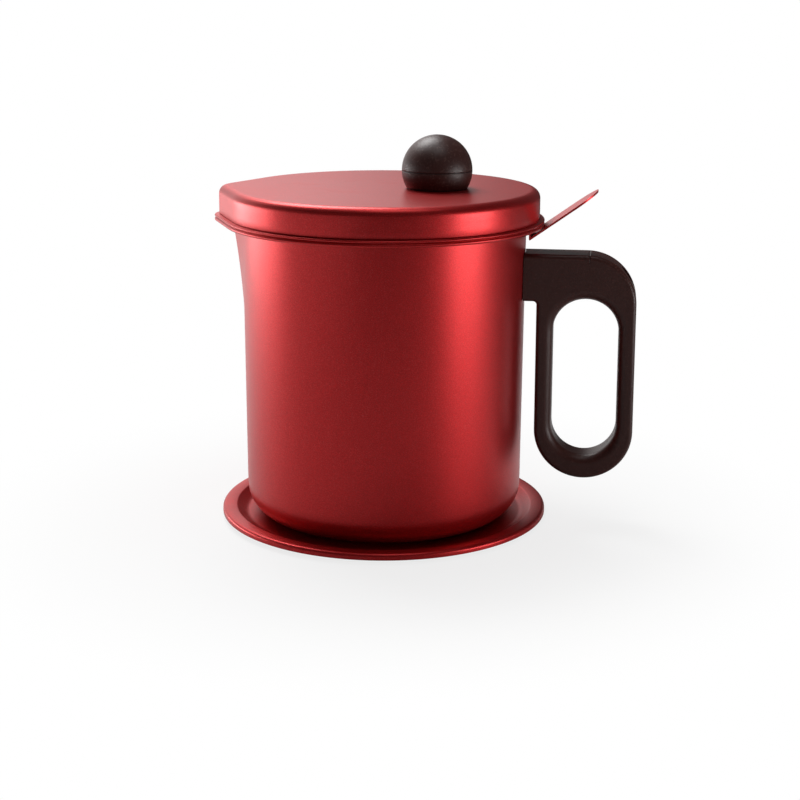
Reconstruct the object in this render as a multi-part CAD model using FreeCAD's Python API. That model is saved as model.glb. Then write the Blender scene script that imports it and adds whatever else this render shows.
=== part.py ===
import FreeCAD, Part
import math
import os

os.makedirs("parts", exist_ok=True)

V = FreeCAD.Vector
UP = V(0, 0, 1)

# Overall sizes, in millimetres
total_height = 182.0
total_length = 199.0
tray_radius = 77.5

# How far a tool body reaches past the face that it cuts
cut_margin = 6.0

# Two places nearer than this are one
touch = 0.001

# Sheet thicknesses of the pressed parts
tray_sheet = 0.8
pot_sheet = 0.9
strainer_sheet = 0.8
lid_sheet = 0.8
tab_sheet = 0.9

# Coaster tray and its pad
tray_base_z = 1.0
tray_lip_z = 5.0
tray_lip_width = 7.2
tray_skirt_height = 3.0
tray_slope_width = 3.5
tray_bend = 1.4
pad_margin = 7.8
pad_groove_width = 2.0
pad_groove_depth = 0.4
pad_groove_pitch = 18.0
pad_groove_count = 2

# Pot body
wall_radius_low = 65.2
wall_radius_high = 66.4
base_corner = 14.0
base_rise = 1.0
base_ring_width = 6.0
spout_start_z = 66.0
spout_sections = 7
spout_growth = 6.3
spout_first_growth = 0.02
spout_curve = 2.2
spout_tip_low = 40.0
spout_tip_high = 10.0
rim_bead = 1.1
rim_bead_ease = 0.66

# Strainer, whose flange rests on the pot's rim
flange_overhang = 8.4
flange_growth = 6.2
flange_tip = 16.0
flange_skirt = 3.1
flange_ease = 0.5
hem_line_drop = 1.1
hem_line_width = 0.4
hem_line_depth = 0.4
cup_gap = 3.5
cup_taper = 3.5
cup_depth = 25.4
cup_bend = 4.0
cup_ledge = 8.5
mesh_sheet = 0.6
mesh_hole = 3.8
mesh_pitch = 5.6
mesh_lap = 4.0
mesh_plain_rim = 1.5
mesh_ring_sheet = 0.8

# Thumb tab, folded in a V under the flange
tab_width = 20.0
tab_rim_gap = 1.1
tab_weld_inset = 1.6
tab_drop = 3.4
tab_reach = 24.4
tab_rise = 17.4

# Lid
lid_height = 13.7
lid_margin = 2.2
lid_tip = 14.0
lid_edge = 4.0
lid_inner_ease = 2.0
lid_hem_ease = 0.48
collar_gap = 0.45
collar_rise = 2.0

# Ball knob
knob_x = 24.6
knob_height = 24.9
knob_radius = 16.4
knob_wall = 2.4
knob_dome_angle = 50.0
knob_hub_radius = 6.0
knob_hub_rise = 2.0
knob_spigot_gap = 0.2
knob_spigot_wall = 1.4
knob_spigot_depth = 2.4
knob_seam = 0.3
insert_radius = 3.8
insert_length = 8.5
insert_cap = 1.0
insert_groove_width = 1.2
insert_groove_depth = 0.5
knob_screw_radius = 2.0
knob_screw_reach = 7.0
knob_head_radius = 3.8
knob_head_height = 2.6
knob_head_ease = 0.8
knob_recess = (1.4, 2.0, 0.8)
knob_washer_radius = 5.5
knob_washer_sheet = 0.8

# Handle
handle_thickness = 18.0
handle_drop = 14.1
handle_tray_gap = 17.3
arm_depth = 22.3
arm_corner_round = 1.6
loop_wall_gap = 5.7
loop_bar = 7.8
opening_top_drop = 20.9
opening_low_rise = 10.8
outer_edge_round = 2.0
opening_edge_round = 4.2
arm_wall_gap = 0.3
screw_drop = 11.1
screw_seat_depth = 22.0
access_radius = 4.7
handle_screw_radius = 2.4
handle_screw_end = 2.4
handle_screw_ease = 0.6
handle_head_radius = 4.2
handle_head_height = 3.0
handle_head_ease = 0.9
handle_recess = (1.6, 2.2, 0.9)
washer_sheet = 1.0
flat_washer_radius = 4.5
lock_washer_radius = 4.0
lock_washer_split = 0.6
bore_clearance = 0.25

# Bracket that carries the handle
bracket_sheet = 1.4
bracket_depth = 8.1
bracket_half_width = 6.5
bracket_half_height = 7.0
bracket_clearance = 0.2
nut_across_flats = 8.0
nut_height = 3.2

# Places that follow from the sizes above
tray_floor_radius = tray_radius - tray_lip_width - tray_slope_width
pad_radius = tray_floor_radius - pad_margin
pot_base_z = tray_base_z + tray_sheet
lid_top_z = total_height - knob_height
lid_seat_z = lid_top_z - lid_height
rim_top_z = lid_seat_z - strainer_sheet
knob_seam_z = total_height - knob_radius
flange_radius = wall_radius_high + flange_overhang
flange_reach = flange_radius + flange_growth
lid_radius = flange_radius - lid_margin
lid_reach = flange_reach - lid_margin
cup_radius_top = wall_radius_high - pot_sheet - cup_gap
cup_radius_low = cup_radius_top - cup_taper
cup_floor_z = lid_seat_z - cup_depth
cup_opening = cup_radius_low - cup_ledge
mesh_radius = cup_opening + mesh_lap
handle_top_z = rim_top_z - handle_drop
loop_bottom_z = tray_lip_z + handle_tray_gap
loop_left_x = wall_radius_high + loop_wall_gap
loop_right_x = total_length - flange_reach
opening_left_x = loop_left_x + loop_bar
opening_right_x = loop_right_x - loop_bar
opening_top_z = handle_top_z - opening_top_drop
opening_bottom_z = loop_bottom_z + opening_low_rise
screw_z = handle_top_z - screw_drop
screw_seat_x = loop_right_x - screw_seat_depth
bracket_face_x = wall_radius_high + bracket_depth
blank_x = wall_radius_low - cut_margin


def disc(radius, z_low, z_high, x=0.0):
    """A cylinder standing on the height z_low."""
    return Part.makeCylinder(radius, z_high - z_low, V(x, 0, z_low), UP)


def tube(outer, inner, z_low, z_high, x=0.0):
    return disc(outer, z_low, z_high, x).cut(disc(inner, z_low, z_high, x))


def bar_x(radius, x_low, x_high, z):
    """A cylinder lying along the handle arm."""
    return Part.makeCylinder(radius, x_high - x_low, V(x_low, 0, z), V(1, 0, 0))


def box(x_low, x_high, half_width, z_low, z_high):
    size = (x_high - x_low, 2 * half_width, z_high - z_low)
    return Part.makeBox(*size, V(x_low, -half_width, z_low))


def revolve(points):
    """Turn a closed profile of (radius, height) points round the axis."""
    corners = [V(r, 0, z) for r, z in points]
    face = Part.Face(Part.makePolygon(corners + [corners[0]]))
    return face.revolve(V(0, 0, 0), UP, 360)


def beak_outline(radius, reach, tip_radius, z):
    """The plan of pot, strainer and lid: a circle drawn out to a round tip."""
    tip_x = reach - tip_radius
    angle = math.acos((radius - tip_radius) / tip_x)
    c, s = math.cos(angle), math.sin(angle)
    big = [V(-radius * c, side * radius * s, z) for side in (1, -1)]
    small = [V(-tip_x - tip_radius * c, side * tip_radius * s, z) for side in (1, -1)]
    edges = [
        Part.Arc(big[0], V(radius, 0, z), big[1]).toShape(),
        Part.LineSegment(big[1], small[1]).toShape(),
        Part.Arc(small[1], V(-reach, 0, z), small[0]).toShape(),
        Part.LineSegment(small[0], big[0]).toShape(),
    ]
    return Part.Wire(edges)


def beak_prism(radius, reach, tip_radius, z_low, z_high, inset=0.0):
    wire = beak_outline(radius - inset, reach - inset, tip_radius - inset, z_low)
    return Part.Face(wire).extrude(V(0, 0, z_high - z_low))


def edges_at(shape, z):
    """All edges that lie flat at one height."""
    found = []
    for edge in shape.Edges:
        bounds = edge.BoundBox
        if abs(bounds.ZMin - z) < touch and abs(bounds.ZMax - z) < touch:
            found.append(edge)
    return found


def edges_at_x(shape, x):
    """All edges that lie in one plane across the handle arm."""
    found = []
    for edge in shape.Edges:
        bounds = edge.BoundBox
        if abs(bounds.XMin - x) < touch and abs(bounds.XMax - x) < touch:
            found.append(edge)
    return found


def wall_radius(z):
    share = z / rim_top_z
    return wall_radius_low + (wall_radius_high - wall_radius_low) * share


# Coaster tray with a turned-down lip

def make_tray_pan():
    lip_inner = tray_radius - tray_lip_width
    outer = revolve([
        (0, tray_base_z),
        (tray_floor_radius, tray_base_z),
        (lip_inner, tray_lip_z - tray_skirt_height),
        (tray_radius, tray_lip_z - tray_skirt_height),
        (tray_radius, tray_lip_z),
        (0, tray_lip_z),
    ])
    outer = outer.makeFillet(tray_bend, edges_at(outer, tray_lip_z))
    recess_edge = lip_inner - tray_sheet
    recess = revolve([
        (0, tray_base_z + tray_sheet),
        (tray_floor_radius - tray_sheet, tray_base_z + tray_sheet),
        (recess_edge, tray_lip_z),
        (0, tray_lip_z),
    ])
    recess = recess.makeFillet(tray_bend, edges_at(recess, tray_base_z + tray_sheet))
    hollow = revolve([
        (lip_inner, tray_lip_z - tray_skirt_height),
        (tray_radius - tray_sheet, tray_lip_z - tray_skirt_height),
        (tray_radius - tray_sheet, tray_lip_z - tray_sheet),
        (lip_inner + tray_sheet, tray_lip_z - tray_sheet),
    ])
    return outer.cut(recess).cut(hollow)


def make_tray_pad():
    pad = disc(pad_radius, 0, tray_base_z)
    for step in range(pad_groove_count):
        radius = pad_groove_pitch * (step + 1)
        pad = pad.cut(tube(radius + pad_groove_width, radius, 0, pad_groove_depth))
    return pad


# Pot with its pressed pouring lip

def pot_form(inset):
    """The solid inside the wall surface, drawn in by the inset."""
    base = pot_base_z + inset
    low = revolve([
        (0, base),
        (wall_radius(base) - inset, base),
        (wall_radius(spout_start_z) - inset, spout_start_z),
        (0, spout_start_z),
    ])
    low = low.makeFillet(base_corner - inset, edges_at(low, base))
    wires = []
    bead_z = rim_top_z - rim_bead
    for step in range(spout_sections):
        share = step / (spout_sections - 1)
        z = spout_start_z + (bead_z - spout_start_z) * share
        growth = spout_growth * share ** spout_curve + spout_first_growth
        tip = spout_tip_low + (spout_tip_high - spout_tip_low) * share
        radius = wall_radius(z) - inset
        wires.append(beak_outline(radius, radius + growth, tip - inset, z))
    form = low.fuse(Part.makeLoft(wires, True, True))
    mouth = Part.Face(wires[-1])
    return form.fuse(mouth.extrude(V(0, 0, rim_bead)))


def wall_cone(gap):
    """The round part of the wall, grown by a gap."""
    return Part.makeCone(wall_radius(0) + gap, wall_radius(rim_top_z) + gap, rim_top_z)


def make_rim_bead():
    """The rolled rim: a narrow ring round the mouth with its corners eased."""
    radius = wall_radius(rim_top_z)
    low = rim_top_z - 2 * rim_bead

    def ring(inset):
        return beak_prism(
            radius, radius + spout_growth, spout_tip_high, low, rim_top_z, inset)

    outer = ring(-rim_bead)
    ends = edges_at(outer, low) + edges_at(outer, rim_top_z)
    return outer.makeChamfer(rim_bead_ease, ends).cut(ring(pot_sheet))


def make_pot_shell():
    shell = pot_form(0).fuse(make_rim_bead()).cut(pot_form(pot_sheet))
    foot = pot_base_z
    foot_inner = wall_radius(foot) - base_corner - base_ring_width
    recess = disc(foot_inner, foot, foot + base_rise)
    panel = disc(foot_inner + pot_sheet, foot, foot + base_rise + pot_sheet)
    return shell.fuse(panel).cut(recess).removeSplitter()


# Handle and the parts that hold it

def stadium(x_low, x_high, z_low, z_high, half_depth):
    """A slab with two round ends, one above the other."""
    radius = (x_high - x_low) / 2
    x_mid = (x_high + x_low) / 2
    top = z_high - radius
    low = z_low + radius
    y = -half_depth
    edges = [
        Part.Arc(V(x_high, y, top), V(x_mid, y, z_high), V(x_low, y, top)).toShape(),
        Part.LineSegment(V(x_low, y, top), V(x_low, y, low)).toShape(),
        Part.Arc(V(x_low, y, low), V(x_mid, y, z_low), V(x_high, y, low)).toShape(),
        Part.LineSegment(V(x_high, y, low), V(x_high, y, top)).toShape(),
    ]
    return Part.Face(Part.Wire(edges)).extrude(V(0, 2 * half_depth, 0))


def side_edges(shape, test):
    """Edges of the two broad faces that pass the test."""
    half = handle_thickness / 2
    found = []
    for edge in shape.Edges:
        bounds = edge.BoundBox
        flat = bounds.YMax - bounds.YMin < touch
        if flat and abs(abs(bounds.YMin) - half) < touch and test(edge):
            found.append(edge)
    return found


def make_handle_grip():
    half = handle_thickness / 2
    loop = stadium(loop_left_x, loop_right_x, loop_bottom_z, handle_top_z, half)
    x_mid = (loop_right_x + loop_left_x) / 2
    arm_low_z = handle_top_z - arm_depth
    arm = box(blank_x, x_mid, half, arm_low_z, handle_top_z)
    grip = loop.fuse(arm).removeSplitter()
    opening = stadium(
        opening_left_x, opening_right_x, opening_bottom_z, opening_top_z, half)
    grip = grip.cut(opening)
    under_arm = [e.BoundBox.XMin for e in edges_at(grip, arm_low_z)]
    grip = grip.makeFillet(arm_corner_round, [
        e for e in edges_at(grip, arm_low_z)
        if e.BoundBox.XMin > max(under_arm) - touch])

    def in_opening(edge):
        bounds = edge.BoundBox
        return (
            bounds.XMin > opening_left_x - touch
            and bounds.XMax < opening_right_x + touch)

    def on_rim(edge):
        return not in_opening(edge) and edge.BoundBox.XMax > wall_radius_low

    grip = grip.makeFillet(opening_edge_round, side_edges(grip, in_opening))
    grip = grip.makeFillet(outer_edge_round, side_edges(grip, on_rim))
    grip = grip.cut(wall_cone(arm_wall_gap))
    pocket = box(
        blank_x,
        bracket_face_x + bracket_clearance,
        bracket_half_width + bracket_clearance,
        screw_z - bracket_half_height - bracket_clearance,
        screw_z + bracket_half_height + bracket_clearance)
    grip = grip.cut(pocket)
    bore = bar_x(handle_screw_radius + bore_clearance, bracket_face_x, screw_seat_x, screw_z)
    access = bar_x(access_radius, screw_seat_x, loop_right_x + cut_margin, screw_z)
    return grip.cut(bore).cut(access)


def make_handle_bracket():
    hat = box(
        blank_x,
        bracket_face_x,
        bracket_half_width,
        screw_z - bracket_half_height,
        screw_z + bracket_half_height)
    inside = box(
        blank_x,
        bracket_face_x - bracket_sheet,
        bracket_half_width - bracket_sheet,
        screw_z - bracket_half_height + bracket_sheet,
        screw_z + bracket_half_height - bracket_sheet)
    bore = handle_screw_radius + bore_clearance
    hole = bar_x(bore, 0, bracket_face_x + cut_margin, screw_z)
    return hat.cut(inside).cut(hole).cut(wall_cone(0))


def make_handle_nut():
    face_x = bracket_face_x - bracket_sheet
    corner = nut_across_flats / 2 / math.cos(math.pi / 6)
    points = []
    for step in range(7):
        angle = math.pi / 3 * step
        points.append(V(
            face_x - nut_height,
            corner * math.cos(angle),
            screw_z + corner * math.sin(angle)))
    nut = Part.Face(Part.makePolygon(points)).extrude(V(nut_height, 0, 0))
    return nut.cut(bar_x(handle_screw_radius, 0, bracket_face_x, screw_z))


def washer_x(outer, x_low, x_high):
    ring = bar_x(outer, x_low, x_high, screw_z)
    return ring.cut(bar_x(handle_screw_radius + bore_clearance, x_low, x_high, screw_z))


def make_handle_washer():
    return washer_x(flat_washer_radius, screw_seat_x, screw_seat_x + washer_sheet)


def make_handle_lock_washer():
    low = screw_seat_x + washer_sheet
    ring = washer_x(lock_washer_radius, low, low + washer_sheet)
    split = box(
        low,
        low + washer_sheet,
        lock_washer_split / 2,
        screw_z,
        screw_z + lock_washer_radius)
    return ring.cut(split)


def cross_recess(depth, arm, width):
    """The cross slot of a screw head, sunk into the plane z = 0."""
    one = Part.makeBox(2 * arm, width, depth, V(-arm, -width / 2, -depth))
    two = Part.makeBox(width, 2 * arm, depth, V(-width / 2, -arm, -depth))
    return one.fuse(two)


def make_handle_screw():
    head_low = screw_seat_x + 2 * washer_sheet
    head_high = head_low + handle_head_height
    tip_x = wall_radius_high + handle_screw_end
    shank = bar_x(handle_screw_radius, tip_x, head_low, screw_z)
    head = bar_x(handle_head_radius, head_low, head_high, screw_z)
    head = head.makeChamfer(handle_head_ease, edges_at_x(head, head_high))
    slot = cross_recess(*handle_recess)
    slot.rotate(V(0, 0, 0), V(0, 1, 0), 90)
    slot.translate(V(head_high, 0, screw_z))
    shank = shank.makeChamfer(handle_screw_ease, edges_at_x(shank, tip_x))
    return shank.fuse(head).cut(slot)


# Strainer that hangs in the mouth of the pot

def flange_prism(z_low, z_high, inset):
    return beak_prism(flange_radius, flange_reach, flange_tip, z_low, z_high, inset)


def collar_inset():
    lid_inside = lid_radius - lid_sheet
    return flange_radius - (lid_inside - collar_gap)


def cup_form(inset):
    z_floor = cup_floor_z + inset
    z_top = lid_seat_z + collar_rise
    form = revolve([
        (0, z_floor),
        (cup_radius_low - inset, z_floor),
        (cup_radius_top - inset, z_top),
        (0, z_top),
    ])
    return form.makeChamfer(cup_bend - inset, edges_at(form, z_floor))


def make_strainer_ring():
    skirt_z = lid_seat_z - flange_skirt
    sheet = strainer_sheet
    flange = flange_prism(skirt_z, lid_seat_z, 0)
    flange = flange.makeChamfer(flange_ease, edges_at(flange, lid_seat_z))
    flange = flange.cut(flange_prism(skirt_z, lid_seat_z - sheet, sheet))
    line_top = lid_seat_z - hem_line_drop
    line_low = line_top - hem_line_width
    around = flange_prism(line_low, line_top, -cut_margin)
    flange = flange.cut(around.cut(flange_prism(line_low, line_top, hem_line_depth)))
    collar_top = lid_seat_z + collar_rise
    collar = flange_prism(lid_seat_z - sheet, collar_top, collar_inset())
    collar = collar.makeChamfer(flange_ease, edges_at(collar, collar_top))
    under = flange_prism(lid_seat_z - sheet, collar_top - sheet, collar_inset() + sheet)
    ring = flange.fuse(collar).cut(under)
    ring = ring.fuse(cup_form(0)).cut(cup_form(sheet))
    window = disc(cup_opening, cup_floor_z, cup_floor_z + sheet)
    return ring.cut(window).removeSplitter()


def make_strainer_mesh():
    z = cup_floor_z + strainer_sheet
    outline = Part.Wire(Part.makeCircle(mesh_radius, V(0, 0, z)))
    holes = []
    free_radius = cup_opening - mesh_plain_rim
    count = int(free_radius / mesh_pitch) + 1
    half = mesh_hole / 2
    for i in range(-count, count + 1):
        for j in range(-count, count + 1):
            x, y = i * mesh_pitch, j * mesh_pitch
            if math.hypot(abs(x) + half, abs(y) + half) > free_radius:
                continue
            corners = [(-half, -half), (half, -half), (half, half), (-half, half)]
            points = [V(x + dx, y + dy, z) for dx, dy in corners]
            holes.append(Part.Wire(Part.makePolygon(points + [points[0]])))
    face = Part.makeFace([outline] + holes, "Part::FaceMakerBullseye")
    return face.extrude(V(0, 0, mesh_sheet))


def make_mesh_ring():
    low = cup_floor_z + strainer_sheet + mesh_sheet
    return tube(mesh_radius, cup_opening, low, low + mesh_ring_sheet)


def make_strainer_tab():
    """A strip welded under the flange, bent down and back up to the thumb."""
    half = tab_sheet / 2
    weld_z = lid_seat_z - strainer_sheet - half
    fold_x = wall_radius_high + rim_bead + tab_rim_gap
    weld_end_x = flange_radius - strainer_sheet - tab_weld_inset
    tip_x = flange_radius + tab_reach
    slope = tab_rise / tab_reach
    leg_z = lid_seat_z - tab_drop
    centre = Part.makePolygon([
        V(weld_end_x, 0, weld_z),
        V(fold_x, 0, weld_z),
        V(fold_x, 0, leg_z - slope * (flange_radius - fold_x)),
        V(tip_x, 0, leg_z + tab_rise),
    ])
    section = Part.Face(centre.makeOffset2D(half, 0, False, False))
    strap = section.extrude(V(0, tab_width, 0))
    strap.translate(V(0, -tab_width / 2, 0))
    round_x = tip_x - tab_width / 2
    plan = disc(tab_width / 2, 0, total_height, round_x)
    plan = plan.fuse(box(0, round_x, tab_width / 2, 0, total_height))
    return strap.common(plan).removeSplitter()


# Lid

def make_lid_shell():
    outer = beak_prism(lid_radius, lid_reach, lid_tip, lid_seat_z, lid_top_z)
    outer = outer.makeFillet(lid_edge, edges_at(outer, lid_top_z))
    outer = outer.makeChamfer(lid_hem_ease, edges_at(outer, lid_seat_z))
    inside_top = lid_top_z - lid_sheet
    inner = beak_prism(lid_radius, lid_reach, lid_tip, lid_seat_z, inside_top, lid_sheet)
    inner = inner.makeChamfer(lid_inner_ease, edges_at(inner, inside_top))
    hole = disc(knob_screw_radius + bore_clearance, inside_top, lid_top_z, knob_x)
    return outer.cut(inner).cut(hole)


# Ball knob in two halves, screwed on from below

def ball(z_low, z_high):
    sphere = Part.makeSphere(knob_radius, V(knob_x, 0, knob_seam_z))
    return sphere.common(disc(knob_radius, z_low, z_high, knob_x))


def knob_inside_radius(z):
    """Half the width of the hollow, which narrows towards the lid."""
    half_height = knob_seam_z - lid_top_z
    low = math.sqrt(knob_radius ** 2 - half_height ** 2) - knob_wall
    high = knob_radius - knob_wall
    return low + (high - low) * (z - lid_top_z) / half_height


def drum(z_low, z_high):
    low = knob_inside_radius(z_low)
    high = knob_inside_radius(z_high)
    return Part.makeCone(low, high, z_high - z_low, V(knob_x, 0, z_low), UP)


def dome():
    """The hollow above the seam, with one slope in place of the round."""
    inner = knob_radius - knob_wall
    angle = math.radians(knob_dome_angle)
    rise = inner * math.sin(angle)
    centre = V(knob_x, 0, knob_seam_z)
    return Part.makeCone(inner, inner * math.cos(angle), rise, centre, UP)


def seam_groove():
    low = knob_seam_z - knob_seam / 2
    return tube(knob_radius, knob_radius - knob_seam, low, low + knob_seam, knob_x)


def make_knob_lower():
    body = ball(lid_top_z, knob_seam_z)
    body = body.cut(drum(lid_top_z + knob_wall, knob_seam_z))
    hub = disc(knob_hub_radius, lid_top_z, knob_seam_z + knob_hub_rise, knob_x)
    hole = disc(insert_radius, lid_top_z, lid_top_z + insert_length, knob_x)
    return body.fuse(hub).cut(hole).cut(seam_groove())


def make_knob_upper():
    low = knob_seam_z - knob_spigot_depth
    outer = knob_inside_radius(low) - knob_spigot_gap
    inner = outer - knob_spigot_wall
    shell = ball(knob_seam_z, total_height).cut(dome())
    spigot = tube(outer, inner, low, knob_seam_z, knob_x)
    root_z = knob_seam_z + knob_spigot_wall
    root = tube(knob_radius - knob_wall, inner, knob_seam_z, root_z, knob_x)
    return shell.fuse(spigot).fuse(root).cut(seam_groove())


def make_knob_insert():
    top = lid_top_z + insert_length
    body = disc(insert_radius, lid_top_z, top, knob_x)
    low = (lid_top_z + top - insert_groove_width) / 2
    waist = insert_radius - insert_groove_depth
    groove = tube(insert_radius, waist, low, low + insert_groove_width, knob_x)
    thread = disc(knob_screw_radius, lid_top_z, top - insert_cap, knob_x)
    return body.cut(groove).cut(thread)


def make_knob_washer():
    high = lid_top_z - lid_sheet
    hole = knob_screw_radius + bore_clearance
    return tube(knob_washer_radius, hole, high - knob_washer_sheet, high, knob_x)


def make_knob_screw():
    seat = lid_top_z - lid_sheet - knob_washer_sheet
    low = seat - knob_head_height
    shank = disc(knob_screw_radius, seat, lid_top_z + knob_screw_reach, knob_x)
    head = disc(knob_head_radius, low, seat, knob_x)
    head = head.makeChamfer(knob_head_ease, edges_at(head, low))
    slot = cross_recess(*knob_recess)
    slot.rotate(V(0, 0, 0), V(1, 0, 0), 180)
    slot.translate(V(knob_x, 0, low))
    return shank.fuse(head).cut(slot)


parts = {
    "tray_pan": make_tray_pan,
    "tray_pad": make_tray_pad,
    "pot_shell": make_pot_shell,
    "handle_bracket": make_handle_bracket,
    "handle_nut": make_handle_nut,
    "handle_grip": make_handle_grip,
    "handle_screw": make_handle_screw,
    "handle_washer": make_handle_washer,
    "handle_lock_washer": make_handle_lock_washer,
    "strainer_ring": make_strainer_ring,
    "strainer_mesh": make_strainer_mesh,
    "mesh_ring": make_mesh_ring,
    "strainer_tab": make_strainer_tab,
    "lid_shell": make_lid_shell,
    "knob_lower": make_knob_lower,
    "knob_upper": make_knob_upper,
    "knob_insert": make_knob_insert,
    "knob_washer": make_knob_washer,
    "knob_screw": make_knob_screw,
}

for name, make in parts.items():
    shape = make()
    shape.exportStep("parts/" + name + ".step")
    bounds = shape.BoundBox
    print(
        name, len(shape.Solids), shape.isValid(), round(shape.Volume, 1),
        [round(v, 2) for v in (
            bounds.XMin, bounds.XMax, bounds.YMin, bounds.YMax, bounds.ZMin, bounds.ZMax)])
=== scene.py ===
import math

import bpy
from mathutils import Matrix, Vector


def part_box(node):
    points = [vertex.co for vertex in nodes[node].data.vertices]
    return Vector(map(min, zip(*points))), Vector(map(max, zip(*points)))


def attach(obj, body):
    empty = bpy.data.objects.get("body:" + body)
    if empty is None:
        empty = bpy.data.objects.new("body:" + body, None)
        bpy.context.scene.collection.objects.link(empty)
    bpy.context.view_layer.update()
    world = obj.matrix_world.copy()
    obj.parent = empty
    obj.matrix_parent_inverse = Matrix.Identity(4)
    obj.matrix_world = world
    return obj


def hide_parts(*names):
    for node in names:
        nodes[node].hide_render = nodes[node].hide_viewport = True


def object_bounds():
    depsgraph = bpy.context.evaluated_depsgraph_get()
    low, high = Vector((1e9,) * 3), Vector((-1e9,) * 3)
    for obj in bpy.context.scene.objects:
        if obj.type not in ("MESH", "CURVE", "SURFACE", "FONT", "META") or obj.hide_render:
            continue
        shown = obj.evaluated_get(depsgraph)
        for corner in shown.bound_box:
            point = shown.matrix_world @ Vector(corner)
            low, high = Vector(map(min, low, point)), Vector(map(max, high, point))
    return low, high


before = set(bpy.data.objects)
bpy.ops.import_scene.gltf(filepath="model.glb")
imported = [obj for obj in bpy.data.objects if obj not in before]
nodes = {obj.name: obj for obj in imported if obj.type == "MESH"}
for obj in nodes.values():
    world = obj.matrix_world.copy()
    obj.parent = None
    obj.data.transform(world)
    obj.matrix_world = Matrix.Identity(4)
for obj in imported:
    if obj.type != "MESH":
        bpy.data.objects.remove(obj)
cadLow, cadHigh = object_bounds()
mm = 0.001
print("frame loaded,", len(nodes), "nodes")


# node trees: a socket that can stand in sums

class Signal:
    def __init__(self, tree, socket=None):
        self.tree = tree
        self.socket = socket

    def add(self, kind, settings=None, inputs=None, output=0):
        # any node: its settings go in first, then values or links
        node = self.tree.nodes.new(kind)
        for name, value in (settings or {}).items():
            setattr(node, name, value)
        for name, value in (inputs or {}).items():
            socket = node.inputs[name]
            if isinstance(value, Signal):
                self.tree.links.new(value.socket, socket)
            else:
                socket.default_value = value
        return Signal(self.tree, node.outputs[output])

    def math(self, operation, first, second=0.0):
        return self.add("ShaderNodeMath", {"operation": operation}, {0: first, 1: second})

    def __add__(self, other):
        return self.math("ADD", self, other)

    def __radd__(self, other):
        return self.math("ADD", other, self)

    def __sub__(self, other):
        return self.math("SUBTRACT", self, other)

    def __rsub__(self, other):
        return self.math("SUBTRACT", other, self)

    def __mul__(self, other):
        return self.math("MULTIPLY", self, other)

    def __rmul__(self, other):
        return self.math("MULTIPLY", other, self)

    def __pow__(self, other):
        return self.math("POWER", self, other)

    def __rpow__(self, other):
        return self.math("POWER", other, self)

    def ramp(self, low, high):
        # 0 below low, 1 above high, smooth between
        settings = {"interpolation_type": "SMOOTHSTEP"}
        return self.add("ShaderNodeMapRange", settings, {"Value": self, "From Min": low, "From Max": high})

    def between(self, first, second):
        # mixes two colours, by this signal
        settings = {"data_type": "RGBA"}
        return self.add("ShaderNodeMix", settings, {0: self, 6: asColour(first), 7: asColour(second)}, 2)

    def noise(self, scale, detail, roughness=0.5):
        return self.add(
            "ShaderNodeTexNoise", {},
            {"Vector": self, "Scale": scale, "Detail": detail, "Roughness": roughness})

    def axis(self, index):
        return self.add("ShaderNodeSeparateXYZ", {}, {0: self}, index)

    def bump(self, strength, distance, normal=None):
        inputs = {"Height": self, "Strength": strength, "Distance": distance}
        if normal is not None:
            inputs["Normal"] = normal
        return self.add("ShaderNodeBump", {}, inputs)


def asColour(value):
    return value if isinstance(value, Signal) else (*value, 1)


def startMaterial(name):
    material = bpy.data.materials.new(name)
    material.use_nodes = True
    tree = material.node_tree
    tree.nodes.clear()
    start = Signal(tree)
    place = start.add("ShaderNodeTexCoord", output="Object")
    return material, start, place


def finishMaterial(start, varying, fixed):
    # varying inputs are linked, fixed ones stay on the shader's sockets
    linkOutput(start, start.add("ShaderNodeBsdfPrincipled", {}, {**varying, **fixed}))


def linkOutput(start, shader):
    output = start.tree.nodes.new("ShaderNodeOutputMaterial")
    start.tree.links.new(shader.socket, output.inputs["Surface"])


# finishes

paint = {
    "deep": (0.33, 0.004, 0.005),
    "bright": (0.54, 0.012, 0.014),
    # lighter red: the colour of rubbed wear, and of the painted glint of the flakes
    "scuffAndGlint": (0.62, 0.10, 0.10),
    "cloudScale": 9,         # all scales are per metre
    "flakeScale": 2300,      # so flakes of about 0.4 mm
    "sparkleScale": 4830,
    "peelScale": 520,
    "dentScale": 16,
    "rubScale": 60,
    "flakeEdges": (0.35, 0.68),
    "sparkleEdges": (0.62, 0.74),
    "rubEdges": (0.52, 0.7),
    "flakeShare": 0.65,
    "sparkleShare": 0.35,
    "rubShare": 0.25,
    "peelBump": (0.22, 0.12 * mm),
    "dentBump": (0.35, 0.8 * mm),
    "roughness": 0.40,
    "metallic": 0.82,
    "coat": 0.25,
    "coatRoughness": 0.3,
}


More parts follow.
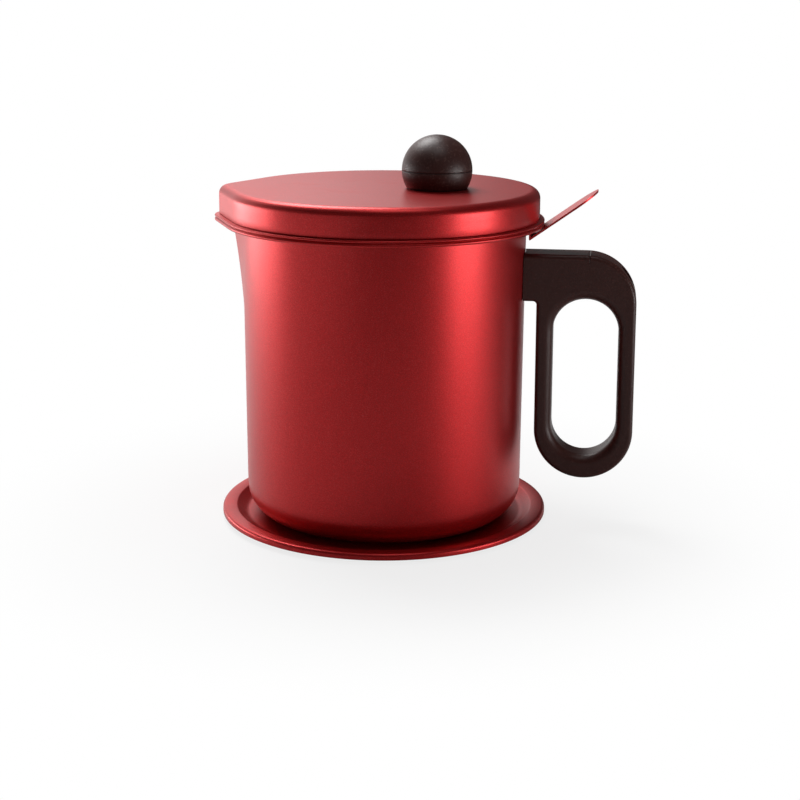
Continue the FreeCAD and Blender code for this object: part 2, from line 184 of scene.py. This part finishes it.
def redPaint(name, rubFrom, rubTo):
    # satin metallic paint, with the flakes' sparkle painted in as lighter specks (painted glint); it is
    # rubbed duller above rubFrom, most above rubTo
    material, start, place = startMaterial(name)
    cloud = place.noise(paint["cloudScale"], 3.0)
    flakes = place.noise(paint["flakeScale"], 1.0)
    sparkle = place.noise(paint["sparkleScale"], 0.0).ramp(*paint["sparkleEdges"])
    peel = place.noise(paint["peelScale"], 2.0)
    dents = place.noise(paint["dentScale"], 1.0)
    worn = place.noise(paint["rubScale"], 6.0, 0.7).ramp(*paint["rubEdges"])
    rubbed = worn * place.axis(2).ramp(rubFrom, rubTo)
    share = paint["flakeShare"]
    depth = cloud * (1 - share) + flakes.ramp(*paint["flakeEdges"]) * share
    body = depth.between(paint["deep"], paint["bright"])
    # painted glint: random sparkle specks painted lighter into the base colour
    paintedGlint = (sparkle * paint["sparkleShare"]).between(body, paint["scuffAndGlint"])
    colour = (rubbed * paint["rubShare"]).between(paintedGlint, paint["scuffAndGlint"])
    roughness = paint["roughness"] + 0.1 * (cloud - 0.5) + 0.08 * (flakes - 0.5) + 0.12 * rubbed
    normal = (peel * 0.6 + flakes * 0.4).bump(*paint["peelBump"], dents.bump(*paint["dentBump"]))
    finishMaterial(start, {
        "Base Color": colour,
        "Roughness": roughness,
        "Metallic": paint["metallic"] + 0.15 * (flakes - 0.5),
        "Normal": normal,
    }, {"Coat Weight": paint["coat"], "Coat Roughness": paint["coatRoughness"]})
    return material


plastic = {
    "dark": (0.024, 0.0062, 0.0050),
    "light": (0.062, 0.0175, 0.0135),
    "dust": (0.15, 0.085, 0.072),
    "seam": (0.014, 0.0045, 0.0035),
    "grainScale": 1500,
    "speckScale": 900,
    "cloudScale": 22,
    "speckEdges": (0.56, 0.72),
    "seamShare": 0.8,
    "seamStrength": 0.5,
    "bumpDepth": 0.3 * mm,
}
gripSkin = {
    "grain": 0.25,
    "dust": 0.10,
    "roughness": 0.38,
    "gloss": 0.3,
    "seamAxis": 0,           # the mould line runs across the arm
    "seamAlong": 0.85,       # as a share of the screw's length
    "seamDrop": 4 * mm,      # down from the arm's top
    "seamWidth": 0.4 * mm,
}
knobSkin = {
    "grain": 0.30,
    "dust": 0.35,
    "roughness": 0.42,
    "gloss": 0.45,
    "seamAxis": 2,           # the parting line lies level, round the ball's middle
    "seamWidth": 0.5 * mm,
    "radius": 16.4 * mm,
}


def brownPlastic(name, skin, seamAt, seamFrom):
    # moulded plastic with a sparked grain, and a line where two halves meet
    material, start, place = startMaterial(name)
    grain = place.noise(plastic["grainScale"], 3.0, 0.6)
    specks = place.noise(plastic["speckScale"], 1.0).ramp(*plastic["speckEdges"])
    cloud = place.noise(plastic["cloudScale"], 4.0, 0.6)
    colour = (cloud * 0.6 + grain * 0.4).between(plastic["dark"], plastic["light"])
    colour = (specks * skin["dust"]).between(colour, plastic["dust"])
    gap = start.math("ABSOLUTE", place.axis(skin["seamAxis"]) - seamAt)
    seam = (1 - gap.ramp(0.0, skin["seamWidth"])) * place.axis(2).ramp(seamFrom, seamFrom + mm)
    colour = (seam * plastic["seamShare"]).between(colour, plastic["seam"])
    normal = grain.bump(skin["grain"], plastic["bumpDepth"])
    normal = (1 - seam).bump(plastic["seamStrength"], plastic["bumpDepth"], normal)
    finishMaterial(start, {
        "Base Color": colour,
        "Roughness": skin["roughness"] + 0.14 * (grain - 0.5) + 0.12 * (cloud - 0.5),
        "Normal": normal,
    }, {"Specular IOR Level": skin["gloss"]})
    return material


metal = {"stainScale": 90, "markShare": 0.6, "markBump": (0.15, 0.1 * mm)}


def metalFinish(name, dark, light, roughness, markScale):
    # bare metal with fine turning or rolling marks
    material, start, place = startMaterial(name)
    marks = place.noise(markScale, 4.0, 0.6)
    stain = place.noise(metal["stainScale"], 3.0)
    share = metal["markShare"]
    finishMaterial(start, {
        "Base Color": (share * marks + (1 - share) * stain).between(dark, light),
        "Roughness": roughness + 0.2 * (marks - 0.5) + 0.15 * (stain - 0.5),
        "Normal": marks.bump(*metal["markBump"]),
    }, {"Metallic": 1.0})
    return material


rubber = {
    "dark": (0.018, 0.018, 0.018),
    "dusty": (0.09, 0.085, 0.08),
    "grainScale": 900,
    "dustScale": 40,
    "dustEdges": (0.5, 0.8),
    "grainBump": (0.4, 0.3 * mm),
    "roughness": 0.78,
}


def padRubber(name):
    material, start, place = startMaterial(name)
    grain = place.noise(rubber["grainScale"], 4.0, 0.7)
    dust = place.noise(rubber["dustScale"], 4.0, 0.6).ramp(*rubber["dustEdges"])
    finishMaterial(start, {
        "Base Color": (dust * 0.4 + grain * 0.2).between(rubber["dark"], rubber["dusty"]),
        "Roughness": rubber["roughness"] + 0.2 * (grain - 0.5),
        "Normal": grain.bump(*rubber["grainBump"]),
    }, {})
    return material


screwLow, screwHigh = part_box("handle_screw")
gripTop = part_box("handle_grip")[1].z
gripSeam = screwLow.x + (screwHigh.x - screwLow.x) * gripSkin["seamAlong"]
knobSeam = cadHigh[2] - knobSkin["radius"]

finishes = {
    "tray": redPaint("trayPaint", 2 * mm, 6 * mm),
    "pot": redPaint("potPaint", 136 * mm, 143 * mm),
    "strainer": redPaint("strainerPaint", 142 * mm, 146 * mm),
    "lid": redPaint("lidPaint", 150 * mm, 172 * mm),
    "grip": brownPlastic("gripPlastic", gripSkin, gripSeam, gripTop - gripSkin["seamDrop"]),
    "knob": brownPlastic("knobPlastic", knobSkin, knobSeam, 0.0),
    "steel": metalFinish("screwSteel", (0.36, 0.35, 0.34), (0.68, 0.68, 0.67), 0.34, 900),
    "mesh": metalFinish("meshSteel", (0.42, 0.42, 0.40), (0.74, 0.74, 0.72), 0.28, 1200),
    "brass": metalFinish("insertBrass", (0.48, 0.30, 0.10), (0.82, 0.60, 0.26), 0.3, 1100),
    "rubber": padRubber("padRubber"),
}
print("finishes made:", len(finishes))


# plans and sweeps

outline = {
    "steps": 200,
    "tipCrowding": 0.55,
    "leastLip": 1e-7,        # below this the plan is a plain circle
    "sharpAngle": 50,
}


def planAngles():
    # angles from -X, crowded together near the pouring tip
    angles = []
    for step in range(outline["steps"]):
        share = step / outline["steps"] * 2 - 1
        angles.append(math.pi * (share - outline["tipCrowding"] * math.sin(math.pi * share) / math.pi))
    return angles


def beakRadius(angle, radius, reach, tip):
    # distance from the axis to a circle drawn out to a round tip
    centre = reach - tip
    if reach - radius < outline["leastLip"]:
        return radius
    turn = math.acos((radius - tip) / centre)
    angle = abs(angle)
    if angle >= turn:
        return radius
    tipEnd = math.atan2(tip * math.sin(turn), centre + tip * math.cos(turn))
    if angle > tipEnd:
        return radius / math.cos(turn - angle)
    return centre * math.cos(angle) + math.sqrt(tip ** 2 - (centre * math.sin(angle)) ** 2)


def beakRing(radius, reach, tip, z):
    ring = []
    for angle in planAngles():
        r = beakRadius(angle, radius, reach, tip)
        ring.append((-math.cos(angle) * r, math.sin(angle) * r, z))
    return ring


def roundRing(radius, z, x=0.0):
    return [(x - math.cos(a) * radius, math.sin(a) * radius, z) for a in planAngles()]


def bend(steps, start, end):
    # angles of a rounded corner, in radians
    return [math.radians(start + (end - start) * step / steps) for step in range(steps + 1)]


def sweep(name, rings, closed, material, body, node):
    # one skin through all rings; closed joins the last ring to the first
    count = len(rings[0])
    points = [point for ring in rings for point in ring]
    faces = []
    spans = len(rings) if closed else len(rings) - 1
    for span in range(spans):
        low = span * count
        high = (span + 1) % len(rings) * count
        for step in range(count):
            after = (step + 1) % count
            faces.append((low + step, low + after, high + after, high + step))
    if not closed:
        faces.append(tuple(reversed(range(count))))
        faces.append(tuple(range((len(rings) - 1) * count, len(rings) * count)))
    return addPiece(name, points, faces, material, body, node)


def addPiece(name, points, faces, material, body, node):
    mesh = bpy.data.meshes.new(name)
    mesh.from_pydata(points, [], faces)
    mesh.validate()
    mesh.shade_smooth()
    mesh.set_sharp_from_angle(angle=math.radians(outline["sharpAngle"]))
    piece = bpy.data.objects.new(name, mesh)
    bpy.context.scene.collection.objects.link(piece)
    piece.data.materials.append(material)
    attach(piece, body)
    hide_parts(node)
    return piece


# coaster tray

tray = {
    "sheet": 0.8 * mm,
    "lipWidth": 7.2 * mm,
    "slope": 3.5 * mm,
    "edgeRound": 1.5 * mm,
    "skirtLift": 1.0 * mm,    # the skirt ends above the table
    "crown": 0.25 * mm,       # the lip falls a little towards the recess
    "recessRound": 1.2 * mm,
    "middleShare": 0.2,       # the middle face, as a share of the floor's radius
}


def makeTray():
    low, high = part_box("tray_pan")
    radius = high.x
    sheet = tray["sheet"]
    lipInner = radius - tray["lipWidth"]
    floorRadius = lipInner - tray["slope"]
    bead = tray["edgeRound"]
    skirtLow = low.z + tray["skirtLift"]
    middle = tray["middleShare"] * floorRadius
    path = [
        (middle, low.z),
        (floorRadius - mm, low.z),
        (floorRadius + 0.4 * mm, low.z + 0.15 * mm),
        (lipInner, skirtLow + 0.4 * mm),
        (lipInner + sheet, high.z - sheet),
        (radius - bead, high.z - sheet),
        (radius - sheet, high.z - bead),
        (radius - sheet, skirtLow + 0.2 * mm),
        (radius - 0.5 * sheet, skirtLow),
        (radius, skirtLow + 0.2 * mm),
    ]
    for a in bend(6, 0, 90):
        path.append((radius - bead + bead * math.cos(a), high.z - bead + bead * math.sin(a)))
    crown = tray["crown"]
    path.append((lipInner + 2.2 * mm, high.z - 0.3 * crown))
    turn = tray["recessRound"]
    turnX = lipInner + 0.9 * mm
    turnZ = high.z - crown - turn
    for a in bend(4, 90, 140):
        path.append((turnX + turn * math.cos(a), turnZ + turn * math.sin(a)))
    floorEdge = floorRadius - sheet
    floorZ = low.z + sheet
    path += [
        (floorEdge + 1.3 * mm, floorZ + 0.9 * mm),
        (floorEdge + 0.3 * mm, floorZ + 0.2 * mm),
        (floorEdge - 1.2 * mm, floorZ),
        (middle, floorZ),
    ]
    rings = [roundRing(r, z) for r, z in path]
    return sweep("trayPan", rings, False, finishes["tray"], "tray", "tray_pan")


# pot with its pressed lip

pot = {
    "sheet": 0.9 * mm,
    "wallLow": 65.2 * mm,
    "bead": 1.1 * mm,
    "corner": 14.0 * mm,
    "footWidth": 6.0 * mm,
    "footRise": 1.0 * mm,
    "lipStart": 66.0 * mm,
    "lipGrowth": 6.3 * mm,
    "lipCurve": 2.2,
    "tipLow": 40.0 * mm,
    "tipHigh": 10.0 * mm,
    "wallRings": 34,
    "middleShare": 0.3,       # the middle face, as a share of the foot's radius
}


def makePot():
    potLow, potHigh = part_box("pot_shell")
    bead = pot["bead"]
    sheet = pot["sheet"]
    top = potHigh.z
    foot = potLow.z
    wallHigh = potHigh.x - bead
    beadZ = top - bead

    def wallRadius(z):
        return pot["wallLow"] + (wallHigh - pot["wallLow"]) * z / top

    def wallRing(z, inset):
        share = max(0.0, (min(z, beadZ) - pot["lipStart"]) / (beadZ - pot["lipStart"]))
        growth = pot["lipGrowth"] * share ** pot["lipCurve"]
        tip = pot["tipLow"] + (pot["tipHigh"] - pot["tipLow"]) * share
        radius = wallRadius(z) - inset
        return beakRing(radius, radius + growth, tip - inset, z)

    def rimRing(z, inset):
        # the plan at the bead's height, set at another height
        return [(x, y, z) for x, y, _ in wallRing(beadZ, inset)]

    corner = pot["corner"]
    cornerR = wallRadius(foot) - corner
    footIn = cornerR - pot["footWidth"]
    panel = foot + pot["footRise"]
    middle = pot["middleShare"] * footIn
    rings = [
        roundRing(middle, panel),
        roundRing(footIn - 0.8 * mm, panel),
        roundRing(footIn - 0.2 * mm, panel - 0.2 * mm),
        roundRing(footIn + 0.2 * mm, foot + 0.2 * mm),
        roundRing(footIn + 0.8 * mm, foot),
    ]
    for a in bend(12, 0, 90):
        rings.append(roundRing(cornerR + corner * math.sin(a), foot + corner * (1 - math.cos(a))))
    wallStart = foot + corner + 4 * mm
    wallEnd = top - 2 * bead
    count = pot["wallRings"]
    levels = [wallStart + (wallEnd - wallStart) * step / count for step in range(count + 1)]
    rings += [wallRing(z, 0) for z in levels]
    for a in bend(8, -70, 100):
        rings.append(rimRing(beadZ + bead * math.sin(a), -bead * math.cos(a)))
    rings.append(rimRing(top - 0.3 * mm, 0.7 * sheet))
    rings.append(rimRing(top - 0.9 * mm, sheet))
    rings += [wallRing(z, sheet) for z in reversed(levels)]
    inner = corner - sheet
    floorZ = foot + sheet
    for a in bend(10, 90, 0):
        rings.append(roundRing(cornerR + inner * math.sin(a), floorZ + inner * (1 - math.cos(a))))
    rings += [
        roundRing(footIn + 1.6 * mm, floorZ),
        roundRing(footIn + 0.6 * mm, floorZ + 0.3 * mm),
        roundRing(footIn - 0.4 * mm, panel + sheet),
        roundRing(middle, panel + sheet),
    ]
    return sweep("potBody", rings, False, finishes["pot"], "pot", "pot_shell")


# strainer: hemmed flange, raised collar, cup and woven mesh

strainer = {
    "sheet": 0.8 * mm,
    "tip": 16.0 * mm,
    "skirt": 3.1 * mm,
    "hemDrop": 1.1 * mm,
    "hemWidth": 0.4 * mm,
    "hemDepth": 0.55 * mm,
    "collarInset": 3.45 * mm,
    "collarRise": 2.0 * mm,
    "cupTop": 62.0 * mm,
    "cupLow": 58.5 * mm,
    "cupBend": 4.0 * mm,
    "opening": 50.0 * mm,
}


def makeStrainerRing():
    low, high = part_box("strainer_ring")
    radius, reach, tip = high.x, -low.x, strainer["tip"]
    sheet = strainer["sheet"]
    top = high.z
    seat = top - strainer["collarRise"]
    skirtLow = seat - strainer["skirt"]

    def ring(inset, z):
        return beakRing(radius - inset, reach - inset, tip - inset, z)

    cupTop, cupLow = strainer["cupTop"], strainer["cupLow"]
    opening, turn = strainer["opening"], strainer["cupBend"]
    collar = strainer["collarInset"]
    lineTop = seat - strainer["hemDrop"]
    lineLow = lineTop - strainer["hemWidth"]
    rings = [roundRing(opening, low.z + 0.1 * mm), roundRing(opening + 0.1 * mm, low.z)]
    for a in bend(6, 0, 82):
        rings.append(roundRing(cupLow - turn + turn * math.sin(a), low.z + turn * (1 - math.cos(a))))
    rings += [
        roundRing(cupTop - 0.2 * mm, top - 2 * sheet),
        roundRing(cupTop + 0.8 * mm, top - sheet),
        ring(collar + sheet + 0.3 * mm, top - sheet),
        ring(collar + sheet, top - sheet - 0.3 * mm),
        ring(collar + sheet, seat - sheet),
        ring(sheet + 0.4 * mm, seat - sheet),
        ring(sheet, seat - sheet - 0.4 * mm),
        ring(sheet, skirtLow + 0.2 * mm),
        ring(0.6 * sheet, skirtLow),
    ]
    # two rolled ridges with a dark line between them
    lowerMiddle = (skirtLow + lineLow) / 2
    for a in bend(6, -80, 80):
        depth = strainer["hemDepth"] * (1 - math.cos(a))
        rings.append(ring(depth, lowerMiddle + (lineLow - skirtLow) / 2 * math.sin(a)))
    rings.append(ring(strainer["hemDepth"] + 0.1 * mm, (lineLow + lineTop) / 2))
    upperMiddle = (lineTop + seat) / 2
    for a in bend(6, -80, 90):
        depth = strainer["hemDepth"] * (1 - math.cos(a))
        rings.append(ring(depth, upperMiddle + (seat - lineTop) / 2 * math.sin(a)))
    rings += [
        ring(collar - 0.3 * mm, seat),
        ring(collar, seat + 0.3 * mm),
        ring(collar, top - 0.5 * mm),
        ring(collar + 0.15 * mm, top - 0.15 * mm),
        ring(collar + 0.5 * mm, top),
        roundRing(cupTop + 0.4 * mm, top),
        roundRing(cupTop - 0.4 * mm, top - 0.4 * mm),
        roundRing(cupTop - sheet, top - 1.4 * mm),
    ]
    inner = turn - sheet
    for a in bend(6, 82, 0):
        radiusHere = cupLow - turn + inner * math.sin(a)
        rings.append(roundRing(radiusHere, low.z + sheet + inner * (1 - math.cos(a))))
    rings += [roundRing(opening + 0.1 * mm, low.z + sheet), roundRing(opening, low.z + sheet - 0.1 * mm)]
    finish = finishes["strainer"]
    return sweep("strainerRing", rings, True, finish, "strainer", "strainer_ring")


weave = {"wire": 0.28 * mm, "pitch": 2.4 * mm, "edgeGap": 0.4 * mm}


def makeWeave():
    # wires pass over and under each other at every crossing
    low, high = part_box("strainer_mesh")
    reach = high.x - weave["edgeGap"]
    middle = (low.z + high.z) / 2
    wire, pitch = weave["wire"], weave["pitch"]
    swing = (high.z - low.z) / 2 - wire / 2
    count = int(reach / pitch)
    points, faces = [], []
    for across in (False, True):
        for index in range(-count, count + 1):
            offset = index * pitch
            half = math.sqrt(reach ** 2 - offset ** 2)
            steps = max(2, int(4 * half / pitch))
            first = len(points)
            for step in range(steps + 1):
                along = -half + 2 * half * step / steps
                side = 1 if (index % 2 == 0) != across else -1
                z = middle + side * swing * math.cos(math.pi * along / pitch)
                for turn in range(4):
                    a = math.pi / 4 + math.pi / 2 * turn
                    shift = wire / 2 * math.cos(a)
                    lift = wire / 2 * math.sin(a)
                    place = (offset + shift, along) if across else (along, offset + shift)
                    points.append((*place, z + lift))
            for step in range(steps):
                for turn in range(4):
                    after = (turn + 1) % 4
                    here = first + step * 4
                    faces.append((here + turn, here + after, here + 4 + after, here + 4 + turn))
            faces.append(tuple(first + turn for turn in range(4)))
            faces.append(tuple(first + steps * 4 + turn for turn in range(4)))
    finish = finishes["mesh"]
    return addPiece("strainerWeave", points, faces, finish, "strainer", "strainer_mesh")


# lid

lid = {
    "sheet": 0.8 * mm,
    "tip": 14.0 * mm,
    "edgeRound": 4.0 * mm,
    "hem": 0.45 * mm,
    "holeRadius": 2.25 * mm,
    "flatInset": 5 * mm,      # of the outline that the flat top starts from
}


def makeLid():
    lidLow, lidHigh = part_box("lid_shell")
    radius, reach, tip = lidHigh.x, -lidLow.x, lid["tip"]
    low, top = lidLow.z, lidHigh.z
    sheet, edge, hem = lid["sheet"], lid["edgeRound"], lid["hem"]
    knobLow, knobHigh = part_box("knob_upper")
    knobX = (knobLow.x + knobHigh.x) / 2

    def ring(inset, z):
        return beakRing(radius - inset, reach - inset, max(tip - inset, mm), z)

    rings = [ring(sheet, low + 0.1 * mm), ring(0.6 * sheet, low)]
    for a in bend(3, -80, 0):
        rings.append(ring(hem * (1 - math.cos(a)), low + hem + hem * math.sin(a)))
    for share in (0.33, 0.66):
        rings.append(ring(0, low + hem + (top - edge - low - hem) * share))
    for a in bend(10, 0, 90):
        rings.append(ring(edge * (1 - math.cos(a)), top - edge + edge * math.sin(a)))
    flat = edge + lid["flatInset"]
    rings += [ring(edge + mm, top), ring(flat, top), roundRing(lid["holeRadius"], top, knobX)]
    under = top - sheet
    rings += [roundRing(lid["holeRadius"], under, knobX), ring(flat, under)]
    inner = edge - sheet
    for a in bend(6, 90, 0):
        rings.append(ring(sheet + inner * (1 - math.cos(a)), under - inner + inner * math.sin(a)))
    return sweep("lidShell", rings, True, finishes["lid"], "lid", "lid_shell")


makeTray()
makePot()
makeStrainerRing()
makeWeave()
makeLid()
print("pressed sheet parts made")

# CAD nodes that stay, with their finishes

keptNodes = {
    "tray_pad": "rubber",
    "handle_bracket": "steel",
    "handle_nut": "steel",
    "handle_grip": "grip",
    "handle_screw": "steel",
    "handle_washer": "steel",
    "handle_lock_washer": "steel",
    "mesh_ring": "mesh",
    "strainer_tab": "strainer",
    "knob_lower": "knob",
    "knob_upper": "knob",
    "knob_insert": "brass",
    "knob_washer": "steel",
    "knob_screw": "steel",
}
for nodeName, finish in keptNodes.items():
    node = nodes[nodeName]
    node.data.materials.clear()
    node.data.materials.append(finishes[finish])
print("nodes dressed:", len(keptNodes))


# floor, light and camera

studio = {
    "floorSize": 12.0,
    "floorColours": ((0.86, 0.86, 0.86), (0.9, 0.9, 0.9)),
    "paperScale": 30,
    "skyLight": 0.07,
    "shadowShare": 0.2,             # how much of the shadow near the object shows
    "shadowReach": (0.08, 0.22),
    "mirrorAcross": (0.0, -0.22),   # the pale backdrop is mirrored from the left
    "mirrorBack": (0.0, 0.6),       # and from behind only
    "mirrorFloor": (-0.1, -0.5),    # and the floor from the left
    "lampAim": 0.09,
}


def whiteRays(start, mirrored):
    # 1 for what the camera sees; mirrored is the part that reflections see white
    seen = start.add("ShaderNodeLightPath", output="Is Camera Ray")
    clear = start.add("ShaderNodeLightPath", output="Is Transmission Ray")
    glossy = start.add("ShaderNodeLightPath", output="Is Glossy Ray")
    return start.math("MAXIMUM", start.math("MAXIMUM", seen, clear), glossy * mirrored)


def makeFloor():
    half = studio["floorSize"] / 2
    mesh = bpy.data.meshes.new("floor")
    corners = [(-half, -half, 0), (half, -half, 0), (half, half, 0), (-half, half, 0)]
    mesh.from_pydata(corners, [], [(0, 1, 2, 3)])
    floor = bpy.data.objects.new("floor", mesh)
    bpy.context.scene.collection.objects.link(floor)
    material, start, place = startMaterial("floorPaper")
    paper = place.noise(studio["paperScale"], 3.0).between(*studio["floorColours"])
    diffuse = start.add("ShaderNodeBsdfDiffuse", {}, {"Color": paper})
    glow = start.add("ShaderNodeEmission", {}, {"Color": (1, 1, 1, 1), "Strength": 1.0})
    ray = whiteRays(start, place.axis(0).ramp(*studio["mirrorFloor"]))
    away = (place.axis(0) ** 2 + place.axis(1) ** 2) ** 0.5
    shaded = studio["shadowShare"] * (1 - away.ramp(*studio["shadowReach"]))
    blend = ray * (1 - shaded)
    linkOutput(start, start.add("ShaderNodeMixShader", {}, {0: blend, 1: diffuse, 2: glow}))
    mesh.materials.append(material)


def makeSky():
    world = bpy.data.worlds.new("studioSky")
    bpy.context.scene.world = world
    world.use_nodes = True
    world.node_tree.nodes.clear()
    start = Signal(world.node_tree)
    towards = start.add("ShaderNodeTexCoord", output="Generated")
    across = towards.axis(0).ramp(*studio["mirrorAcross"])
    back = towards.axis(1).ramp(*studio["mirrorBack"])
    seen = whiteRays(start, across * back)
    strength = seen * (1 - studio["skyLight"]) + studio["skyLight"]
    background = start.add("ShaderNodeBackground", {}, {"Color": (1, 1, 1, 1), "Strength": strength})
    output = world.node_tree.nodes.new("ShaderNodeOutputWorld")
    world.node_tree.links.new(background.socket, output.inputs["Surface"])


# turn is degrees round from the camera's side, to its right; watts are for each lamp
lamps = {
    "leftBox": {"turn": -110, "distance": 0.9, "height": 0.08, "width": 0.7, "tall": 0.14, "watts": 2.8},
    "rightBox": {"turn": 66, "distance": 1.0, "height": 0.08, "width": 0.5, "tall": 0.14, "watts": 3.5},
    "behind": {"turn": -150, "distance": 0.5, "height": 0.9, "width": 0.5, "tall": 0.5, "watts": 7.5},
    "overhead": {"turn": 20, "distance": 0.22, "height": 1.1, "width": 0.45, "tall": 0.45, "watts": 1.5},
}


def makeLamp(name, place):
    data = bpy.data.lights.new(name, "AREA")
    data.shape = "RECTANGLE"
    data.size = place["width"]
    data.size_y = place["tall"]
    data.energy = place["watts"]
    lamp = bpy.data.objects.new(name, data)
    bpy.context.scene.collection.objects.link(lamp)
    turn = math.radians(place["turn"] + camera["turn"])
    lamp.location = (
        math.sin(turn) * place["distance"],
        -math.cos(turn) * place["distance"],
        place["height"])
    towards = Vector((0, 0, studio["lampAim"])) - lamp.location
    lamp.rotation_mode = "QUATERNION"
    lamp.rotation_quaternion = towards.to_track_quat("-Z", "Y")


# fitted to the outlines of tray, lid and knob in the photo, 800 x 800
camera = {
    "turn": 7.98,          # degrees, to the handle's side
    "distance": 744.9 * mm,
    "height": 250.3 * mm,
    "pitch": 11.16,
    "yaw": 0.57,
    "roll": 0.23,
    "focal": 1603.8,       # pixels
    "frameWidth": 800,
    "centreRow": 300,
}


def makeCamera():
    turn = math.radians(camera["turn"])
    heading = math.radians(camera["yaw"] - camera["turn"])
    pitch = math.radians(camera["pitch"])
    roll = math.radians(camera["roll"])
    ahead = Vector((
        math.cos(pitch) * math.sin(heading),
        math.cos(pitch) * math.cos(heading),
        -math.sin(pitch)))
    level = Vector((math.cos(heading), -math.sin(heading), 0))
    upright = level.cross(ahead)
    right = math.cos(roll) * level + math.sin(roll) * upright
    up = math.cos(roll) * upright - math.sin(roll) * level
    data = bpy.data.cameras.new("camera")
    data.sensor_width = 36
    data.lens = data.sensor_width * camera["focal"] / camera["frameWidth"]
    data.shift_y = (camera["centreRow"] - camera["frameWidth"] / 2) / camera["frameWidth"]
    viewer = bpy.data.objects.new("camera", data)
    bpy.context.scene.collection.objects.link(viewer)
    viewer.matrix_world = Matrix((
        (right.x, up.x, -ahead.x, math.sin(turn) * camera["distance"]),
        (right.y, up.y, -ahead.y, -math.cos(turn) * camera["distance"]),
        (right.z, up.z, -ahead.z, camera["height"]),
        (0, 0, 0, 1)))
    bpy.context.scene.camera = viewer


makeFloor()
makeSky()
makeCamera()
for lampName, lampPlace in lamps.items():
    makeLamp(lampName, lampPlace)
bpy.context.scene.view_settings.view_transform = "Standard"
print("studio ready")
